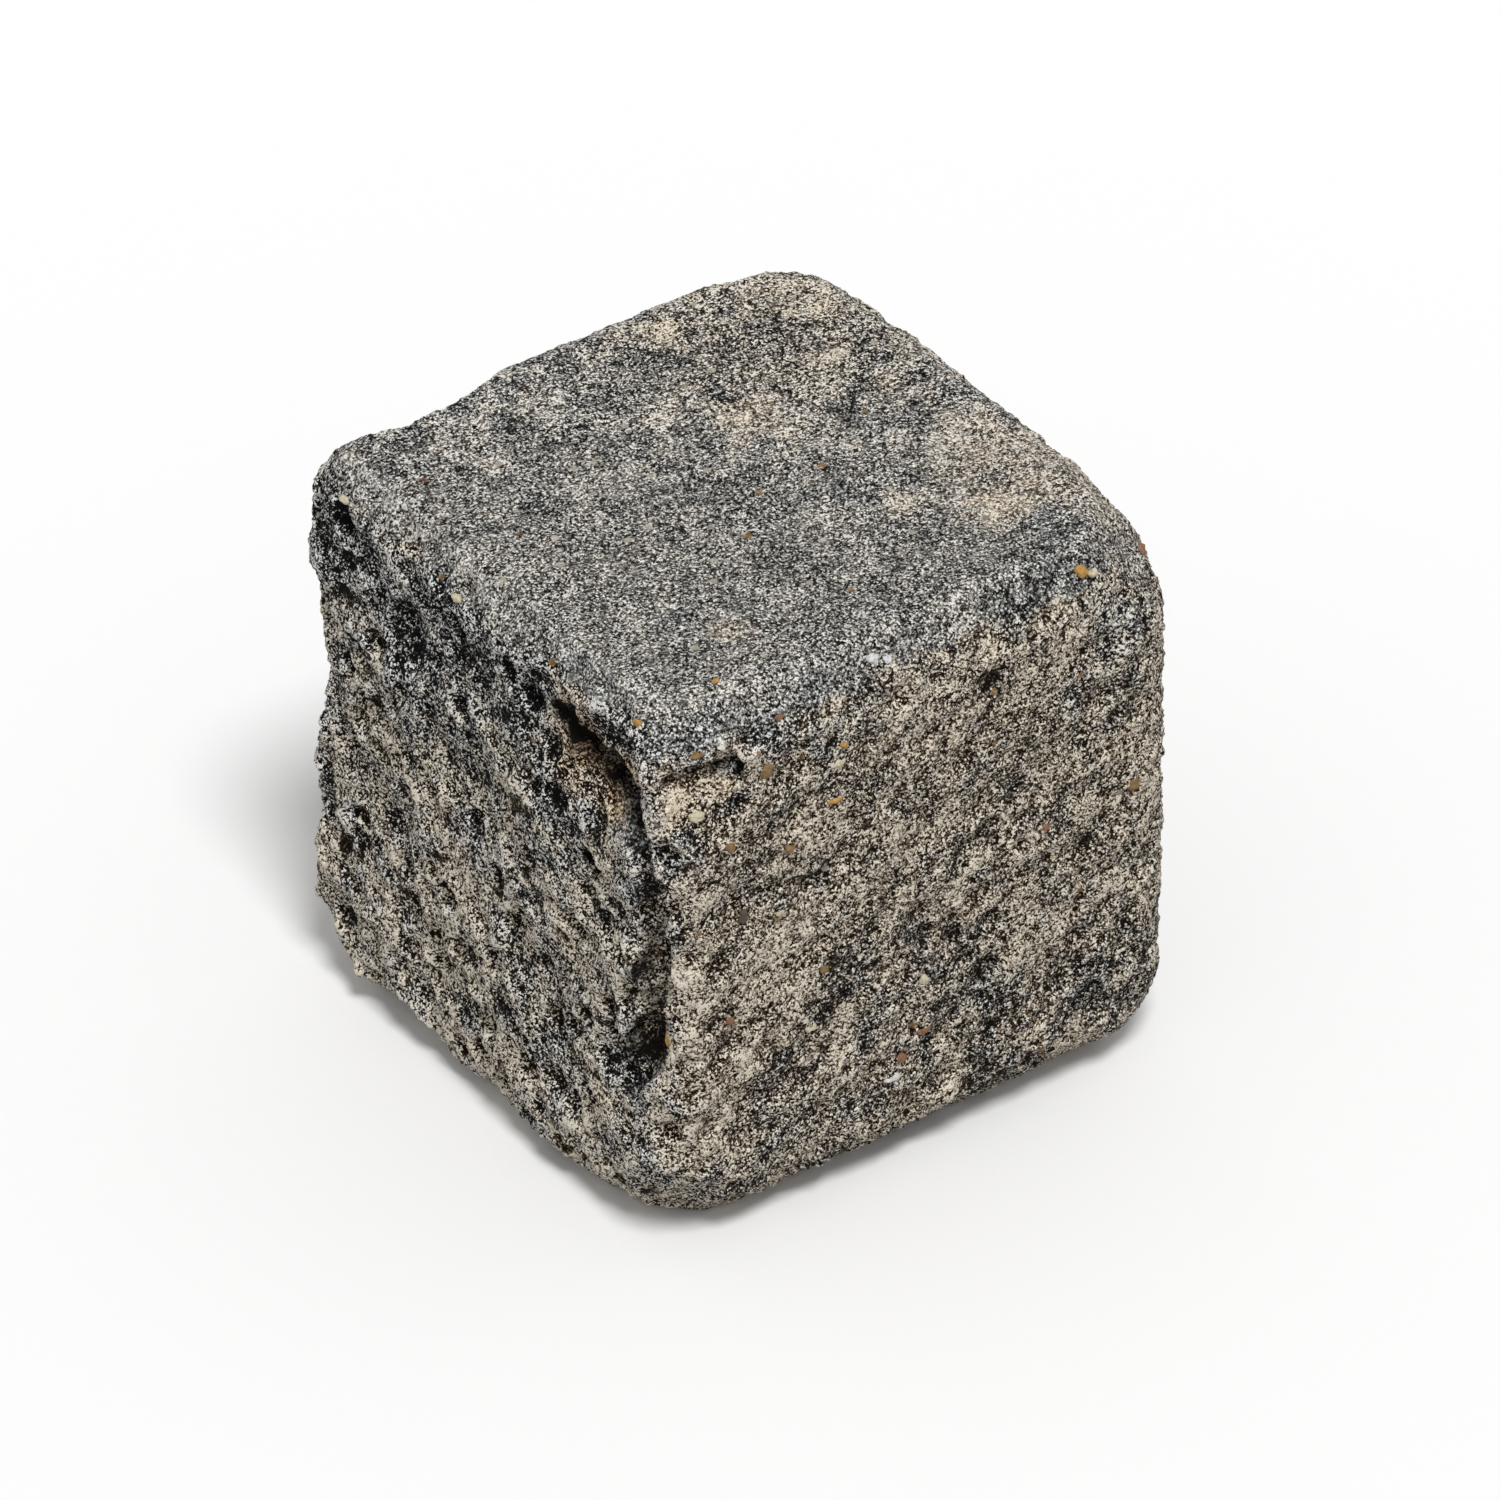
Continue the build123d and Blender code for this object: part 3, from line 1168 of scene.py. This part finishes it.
# %% The dabs
# Each dab: X, Y, Z and radius in mm, then what it adds to tone, warmth and brown.
DABS = [
    # Painted shade, and dirt, under the top arris of the left end
    (-75, 34, 124, 17, -0.14, -0.3, 0),
    (-75, 26, 112, 13, -0.14, -0.3, 0),
    (-75, 50, 134, 16, -0.12, -0.3, 0),
    (-75, 16, 132, 15, -0.12, -0.3, 0),
    (-75, 4, 124, 16, -0.12, -0.3, 0),
    (-75, 30, 100, 12, -0.12, -0.2, 0),
    (-75, 64, 130, 11, -0.30, -0.3, 0),
    (-75, 44, 118, 16, -0.16, -0.2, 0),
    (-75, 54, 77, 12, -0.12, 0, 0),
    (-75, 52, 112, 14, -0.10, 0, 0),
    (-75, 60, 117, 13, -0.26, -0.2, 0),
    (-75, 48, 103, 12, -0.14, 0, 0),
    (-74, -44, 112, 9, -0.20, -0.2, 0),
    (-75, -62, 115, 8, -0.28, -0.2, 0),
    (-75, -27, 22, 12, -0.18, -0.1, 0),
    # Dirt and painted shade beside the foot of the crevice
    (-73, -62, 99, 7, -0.24, -0.2, 0),
    (-72, -65, 87, 9, -0.32, -0.2, 0),
    (-72, -66, 76, 9, -0.32, -0.2, 0),
    (-73, -61, 61, 13, -0.42, -0.2, 0),
    (-75, -57, 47, 13, -0.44, -0.2, 0),
    # Rubbed ridges and the back edge of the left end
    (-74, 48, 112, 6, 0.24, 0.1, 0),
    (-75, 48, 92, 6, 0.14, 0.1, 0),
    (-75, -10, 83, 8, 0.10, 0, 0),
    (-74, -15, 60, 8, 0.12, 0, 0),
    (-75, 57, 112, 5, 0.34, 0.5, 0),
    (-75, 59, 69, 6, 0.20, 0.5, 0),
    (-75, 61, 39, 9, 0.14, 0.4, 0),
    # The broken corner, where the brown core shows
    (-72, -36, 132, 13, -0.12, 0.2, 0.9),
    (-70, -45, 126, 11, -0.16, 0, 0.8),
    (-73, -33, 121, 11, 0.04, 0.3, 0.7),
    (-70, -53, 129, 8, -0.10, 0.2, 0.9),
    (-73, -64, 136, 6, -0.22, -0.2, 0.3),
    (-71, -48, 117, 8, 0.10, 0.3, 0.7),
    # The fresh break on the front: pale, with painted light on the facet, painted shade above and
    # below
    (-64, -71, 131, 8, 0.17, 0.4, 0.4),
    (-58, -72, 131, 7, 0.15, 0.4, 0.4),
    (-69, -72, 129, 5, 0.16, 0.3, 0.3),
    # Painted shade under the lip above the facet
    (-60, -66, 136, 6, -0.25, -0.2, 0),
    # Painted shade below the facet's lower edge
    (-66, -73, 119, 6, -0.12, -0.4, 0),
    (-72, -71, 120, 6, -0.16, -0.4, 0),
    (-68, -71, 126, 4, 0.16, 0.4, 0.2),
    (-57, -72, 131, 5, 0.16, 0.3, 0.2),
    # The slate grey lobe over the break, and the grey lip along the broken corner
    (-63, -69, 143, 8, -0.12, -0.6, 0),
    (-70, -62, 143, 8, -0.18, -0.6, 0),
    (-56, -69, 146, 9, -0.12, -0.5, 0),
    (-72, -31, 145, 7, -0.04, -0.6, 0),
    (-72, -44, 145, 7, 0, -0.6, 0),
    (-73, -54, 141, 6, -0.04, -0.6, 0),
    # Lime patches on the front
    (-67, -74, 102, 9, 0.26, 0.3, 0),
    (-64, -75, 75, 7, 0.34, 0.4, 0),
    (-58, -75, 70, 34, 0.17, 0.2, 0),
    (-67, -74, 35, 9, 0.28, 0.5, 0),
    (-58, -75, 37, 7, 0.30, 0.5, 0),
    (63, -75, 90, 7, 0.20, 0.5, 0),
    (64, -75, 66, 6, 0.14, 0.5, 0),
    (-32, -75, 110, 8, 0.08, 0.1, 0),
    (21, -75, 122, 10, 0.10, 0.1, 0),
    (-23, -75, 100, 9, 0.10, 0.1, 0),
    (-50, -75, 53, 11, 0.18, 0.1, 0),
    (-55, -74, 118, 8, 0.14, 0.1, 0),
    (14, -75, 96, 9, 0.12, 0.1, 0),
    (-23, -75, 75, 8, 0.10, 0.1, 0),
    (34, -75, 87, 8, 0.12, 0.1, 0),
    # Dark patches on the front
    (-15, -75, 45, 11, -0.22, -0.3, 0),
    (-23, -75, 61, 8, -0.17, -0.2, 0),
    (45, -75, 26, 15, -0.20, -0.2, 0),
    (19, -75, 43, 11, -0.15, -0.2, 0),
    (-20, -75, 23, 11, -0.15, -0.1, 0),
    (-40, -75, 24, 10, -0.18, -0.1, 0),
    (-59, -74, 19, 9, -0.24, -0.1, 0),
    (20, -75, 12, 14, -0.16, 0.1, 0),
    (-10, -75, 10, 12, -0.14, 0.1, 0),
    (-45, -74, 140, 10, -0.18, -0.4, 0),
    (-29, -75, 134, 9, -0.16, -0.4, 0),
    (-30, -71, 146, 9, -0.10, -0.2, 0),
    (-28, -75, 52, 9, -0.14, 0, 0),
    (-52, -75, 84, 8, -0.12, -0.1, 0),
    (50, -75, 66, 9, -0.14, 0, 0),
    (21, -72, 144, 6, -0.08, -0.2, 0),
    (27, -72, 143, 7, -0.16, 0, 0),
    (54, -75, 128, 13, -0.16, -0.4, 0),
    (39, -75, 112, 6, -0.24, -0.3, 0),
    (49, -75, 119, 9, -0.10, -0.2, 0),
    (36, -75, 59, 10, -0.08, -0.1, 0),
    (40, -71, 144, 12, -0.12, -0.1, 0),
    (48, -73, 137, 12, -0.12, -0.1, 0),
    (58, -75, 62, 10, -0.14, -0.1, 0),
    (54, -75, 108, 12, -0.14, -0.1, 0),
    (-21, -75, 27, 13, -0.18, 0, 0),
    (50, -75, 20, 13, -0.14, 0, 0),
    # Patches on the top
    (-43, -37, 150, 9, -0.10, -0.1, 0),
    (-36, -46, 150, 8, 0.14, 0.3, 0),
    (18, 57, 150, 9, 0.14, 0.2, 0),
    (14, 19, 150, 12, 0.12, 0.3, 0),
    (24, -29, 150, 7, 0.16, 0.2, 0),
    (47, -55, 150, 10, -0.06, -0.4, 0),
    (6, 41, 150, 9, -0.08, 0, 0),
    (34, -7, 150, 9, -0.05, 0, 0),
    (50, 10, 150, 10, 0.10, 0.1, 0),
    (6, -52, 150, 8, 0.10, 0, 0),
    (37, -43, 150, 9, 0.12, 0.1, 0),
    (-62, -50, 150, 10, 0.12, -0.2, 0),
    (-44, 29, 150, 9, 0.08, -0.1, 0),
    (43, -45, 150, 10, 0.10, 0.1, 0),
    (52, 55, 150, 70, 0.02, 0.4, 0),
    (60, -35, 150, 36, 0.12, 0.3, 0),
    # Lime bloom on the left end
    (-73, 20, 29, 6, 0.16, 0, 0),
    (-74, -21, 64, 6, 0.20, 0, 0),
    (-75, -46, 53, 5, 0.30, -0.2, 0),
    (-75, -2, 19, 6, 0.30, -0.2, 0),
    # A painted highlight along the top arris of the left end
    (-74, 9, 144, 7, 0.16, 0, 0),
    (-74, -11, 144, 7, 0.14, 0, 0),
    (-73, -28, 145, 6, 0.14, 0, 0),
    # Painted shade in the sockets
    (-52, -73, 125, 3.5, -0.5, 0, 0),
    (7, -73, 142, 3, -0.5, 0, 0),
    (28, -71, 144, 3, -0.3, 0, 0),
    (57, -70, 138, 3.5, -0.4, 0, 0),
]

# %% [markdown]
# Long marks are rows of dabs: the pale scrapes on the top, a painted highlight along the left end's
# top arris with painted shade under it, a darker band along the foot of the front, and one lime
# streak. The dirt and painted shade in the crevice follow the route that its chisel took.

# %% Streaks and dirt
# Each streak: start, end and radius in mm, then what it adds to tone and warmth.
STREAKS = [
    ((27, -36, 150), (60, -39, 150), 2.0, 0.16, 0.2),
    ((6, -37, 150), (11, -36, 150), 1.8, 0.22, 0.2),
    ((17, 8, 150), (23, 9, 150), 1.8, 0.20, 0.2),
    ((12, 52, 150), (18, 53, 150), 1.8, 0.20, 0.2),
    # A painted highlight along the left end's top arris, and painted shade under it
    ((-69, 60, 148), (-71, -34, 147), 4.5, 0.20, -0.3),
    ((-75, 64, 136), (-75, -20, 136), 8, -0.12, -0.3),
    ((-60, -75, 8), (60, -75, 8), 10, -0.16, 0.1),
    ((-1, -75, 104), (30, -75, 124), 7, 0.14, 0.1),
]
# How far the crevice's dirt and painted shade spread, as a share of its radius.
DIRT_AND_SHADE_REACH = 2.4


def beads(start, end, radius, *paints):
    """Dabs in a row from start to end, one radius apart."""
    start, end = Vector(start), Vector(end)
    count = max(1, round((end - start).length / radius))
    return [(*start.lerp(end, number / count), radius, *paints) for number in range(count)]


streak_dabs = [
    dab for start, end, radius, tone, warmth in STREAKS
    for dab in beads(start, end, radius, tone, warmth, 0)
]
crevice_dirt_and_shade_dabs = [
    dab for route in crevice.values() for (*start, radius), (*end, _) in zip(route, route[1:])
    for dab in beads(start, end, radius * DIRT_AND_SHADE_REACH, 1, 0, 0)
]
print("dabs:", len(DABS) + len(streak_dabs) + len(crevice_dirt_and_shade_dabs))

# %% Lay the dabs on the points
# How wide the noise is that breaks up the edges, and how far it moves those of dabs and of the
# crevice's dirt and painted shade.
EDGE_WIDTH = 5.0
EDGE_WANDER = 2.5
DIRT_AND_SHADE_WANDER = 1.2
# Without a seed of its own, the noise would take one from the clock and differ in each run.
EDGE_SEED = 1
# Shares of a dab's radius over which it is full.
DAB_HEART = 0.25
DIRT_AND_SHADE_HEART = 0.55
# How much of the crevice's dirt and painted shade stays where the surface isn't hollow, and how
# hollow it has to be for more to gather and for all of it to stay.
DIRT_AND_SHADE_ON_TOP = 0.70
GATHERING_HOLLOWS = (-0.1, 0.4)


def wander(points, width):
    """A noise vector for each point whose swells are this wide, in mm."""
    return np.array([noise.noise_vector(Vector(point) / (width * MM)) for point in points])


def paint_dabs(points, dabs, heart):
    """Adds up the dabs' tone, warmth and brown at each point, in mm."""
    total = np.zeros((len(points), 3))
    for *middle, radius, tone, warmth, brown in dabs:
        distance = np.linalg.norm(points - np.array(middle), axis=1) / radius
        total += np.outer(1 - smooth_step(heart, 1.0, distance), (tone, warmth, brown))
    return total


noise.seed_set(EDGE_SEED)
ragged = wander(points, EDGE_WIDTH)
dabbed = paint_dabs(points / MM + EDGE_WANDER * ragged, DABS + streak_dabs, DAB_HEART)
# The crevice's dirt and painted shade, along the routes of its chisel
dirt_and_shade = paint_dabs(points / MM + DIRT_AND_SHADE_WANDER * ragged, crevice_dirt_and_shade_dabs, DIRT_AND_SHADE_HEART)[:, 0]
dirt_and_shade *= DIRT_AND_SHADE_ON_TOP + (1 - DIRT_AND_SHADE_ON_TOP) * smooth_step(*GATHERING_HOLLOWS, broad_hollows)
store(block, "dirt_and_shade", np.clip(dirt_and_shade, 0, 1))
store(block, "brown", np.clip(dabbed[:, 2], 0, 1))
print("dirty points:", int((dirt_and_shade > CLEARLY).sum()))

# %% [markdown]
# Last come the large zones: the top, the left end and the other uprights. They follow the way the
# strongly smoothed block looks, so that they run over the pits. The left end darkens upwards, and
# under its arris a painted shade darkens it most of all. The top is coarser towards its far corner.

# %% Find the zones
# How far a point has to look to the left, or up, for its zone to start and to be full.
LOOKING_LEFT = (0.55, 0.80)
LOOKING_UP = (0.44, 0.58)
# How far the noise moves the zones' edges, and how far the top reaches down over the left end.
LEFT_RAGGED, TOP_RAGGED = 0.15, 0.10
TOP_OVER_LEFT = 0.10
# Keeps the division below from failing where a point looks straight up.
NEARLY_ZERO = 0.001


def colour_zones(facing, ragged):
    """How far each point has the top's colour, the left end's, and that of the other sides."""
    across = np.linalg.norm(facing[:, :2], axis=1) + NEARLY_ZERO
    looks_left = -facing[:, 0] / across + LEFT_RAGGED * ragged[:, 1]
    leftness = smooth_step(*LOOKING_LEFT, looks_left)
    looks_up = facing[:, 2] + TOP_RAGGED * ragged[:, 0] + TOP_OVER_LEFT * leftness
    top = smooth_step(*LOOKING_UP, looks_up)
    left = (1 - top) * leftness
    return top, left, 1 - top - left


top, left, uprights = colour_zones(broad_facing, ragged)
print("top, left, uprights:", [round(float(zone.mean()), 2) for zone in (top, left, uprights)])

# %% Paint the zones
# What each zone adds to coarseness and warmth. The top is smooth and the coolest.
UPRIGHTS_COARSE, LEFT_COARSE, FAR_TOP_COARSE = 0.60, 1.0, 0.50
TOP_WARMTH, UPRIGHTS_WARMTH, LEFT_WARMTH = 0.18, 0.68, 0.44
UPRIGHTS_TONE = 0.01
# The left end's tone at its foot, what it loses higher up, and the painted shade under its top
# arris.
LEFT_FOOT_TONE, LEFT_DARKENING, ARRIS_SHADE = 0.095, 0.16, 0.17
# Heights in mm between which it darkens, and between which the painted shade under the arris grows.
DARKENING_HEIGHTS = (40, 110)
SHADE_HEIGHTS = (120, 138)
# The far part of the top lies on a slant across it: how much X counts beside Y, and where it
# starts and is full, in mm.
FAR_TOP_SLANT = 0.6
FAR_TOP_PLACES = (-30, 60)

to_far_corner = (points[:, 1] + FAR_TOP_SLANT * points[:, 0]) / MM
far_top = top * smooth_step(*FAR_TOP_PLACES, to_far_corner)
height = points[:, 2] / MM
left_tone = LEFT_FOOT_TONE - LEFT_DARKENING * smooth_step(*DARKENING_HEIGHTS, height)
left_tone -= ARRIS_SHADE * smooth_step(*SHADE_HEIGHTS, height)
zone_warmth = TOP_WARMTH + UPRIGHTS_WARMTH * uprights + LEFT_WARMTH * left
zone_coarse = UPRIGHTS_COARSE * uprights + LEFT_COARSE * left + FAR_TOP_COARSE * far_top
store(block, "coarse", zone_coarse)
store(block, "warmth", zone_warmth + dabbed[:, 1])
store(block, "tone", dabbed[:, 0] + UPRIGHTS_TONE * uprights + left_tone * left)
print("mean coarseness:", round(float(zone_coarse.mean()), 2))

# %% [markdown]
# ## Into the frame
#
# The block is one cast piece, so one object stands for the casting. It is shaded smooth, because
# the net is finer than the relief and its facets would only add a false grain.

# %% Join the block to the frame
take(block)
bpy.ops.object.shade_smooth()
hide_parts("wall_block")
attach(block, "root")

# %% [markdown]
# ## Floor and light
#
# The block stands on white paper under a soft, high light from the front, a little from the left,
# which just grazes the rough end. Lamps close by would light one corner more than another, so the
# light is a wide sun and an even sky. The paper is white to the camera and only mid grey to the
# light that bounces off it, so the block's underside isn't lit from below as if it stood on a
# lamp.

# %% White paper
# Width of the paper in metres, and its colour to the light that bounces off it.
PAPER_WIDTH = 6
BOUNCE = (0.5, 0.5, 0.5, 1)


def seen_directly(tree):
    """1 where a surface is seen by the camera, in a reflection or through glass, else 0."""
    rays = node(tree, "ShaderNodeLightPath").outputs
    seen = maths(tree, "MAXIMUM", rays["Is Camera Ray"], rays["Is Glossy Ray"])
    return maths(tree, "MAXIMUM", seen, rays["Is Transmission Ray"])


bpy.ops.object.select_all(action="DESELECT")
bpy.ops.mesh.primitive_plane_add(size=PAPER_WIDTH)
floor = bpy.context.active_object
floor.name = "floor"
paper, tree, shader = new_material("paper")
fill(tree, shader.inputs["Base Color"], blend(tree, seen_directly(tree), BOUNCE, WHITE))
shader.inputs["Roughness"].default_value = 1.0
shader.inputs["Specular IOR Level"].default_value = 0
floor.data.materials.append(paper)
print("paper, m:", PAPER_WIDTH)

# %% The sky
# How bright the white sky is, but for the camera, which sees it at full strength.
SKY = 0.45

world = bpy.data.worlds.new("studio")
bpy.context.scene.world = world
world.use_nodes = True
tree = world.node_tree
background = tree.nodes["Background"]
background.inputs["Color"].default_value = WHITE
fill(tree, background.inputs["Strength"], sum_up(tree, SKY, (seen_directly(tree), 1 - SKY)))

# %% The soft light
TOWARDS_LIGHT = Vector((-0.16, -0.43, 0.89))
LIGHT_STRENGTH = 1.95
# How wide the light looks from the block, in degrees: the wider, the softer the shadows.
LIGHT_SPREAD = 16

light = bpy.data.lights.new("softbox", "SUN")
light.energy = LIGHT_STRENGTH
light.angle = math.radians(LIGHT_SPREAD)
softbox = bpy.data.objects.new("softbox", light)
softbox.rotation_euler = TOWARDS_LIGHT.to_track_quat("Z", "Y").to_euler()
bpy.context.collection.objects.link(softbox)
bpy.context.scene.view_settings.view_transform = "Standard"
print("light, degrees up:", round(math.degrees(math.asin(TOWARDS_LIGHT.normalized().z))))
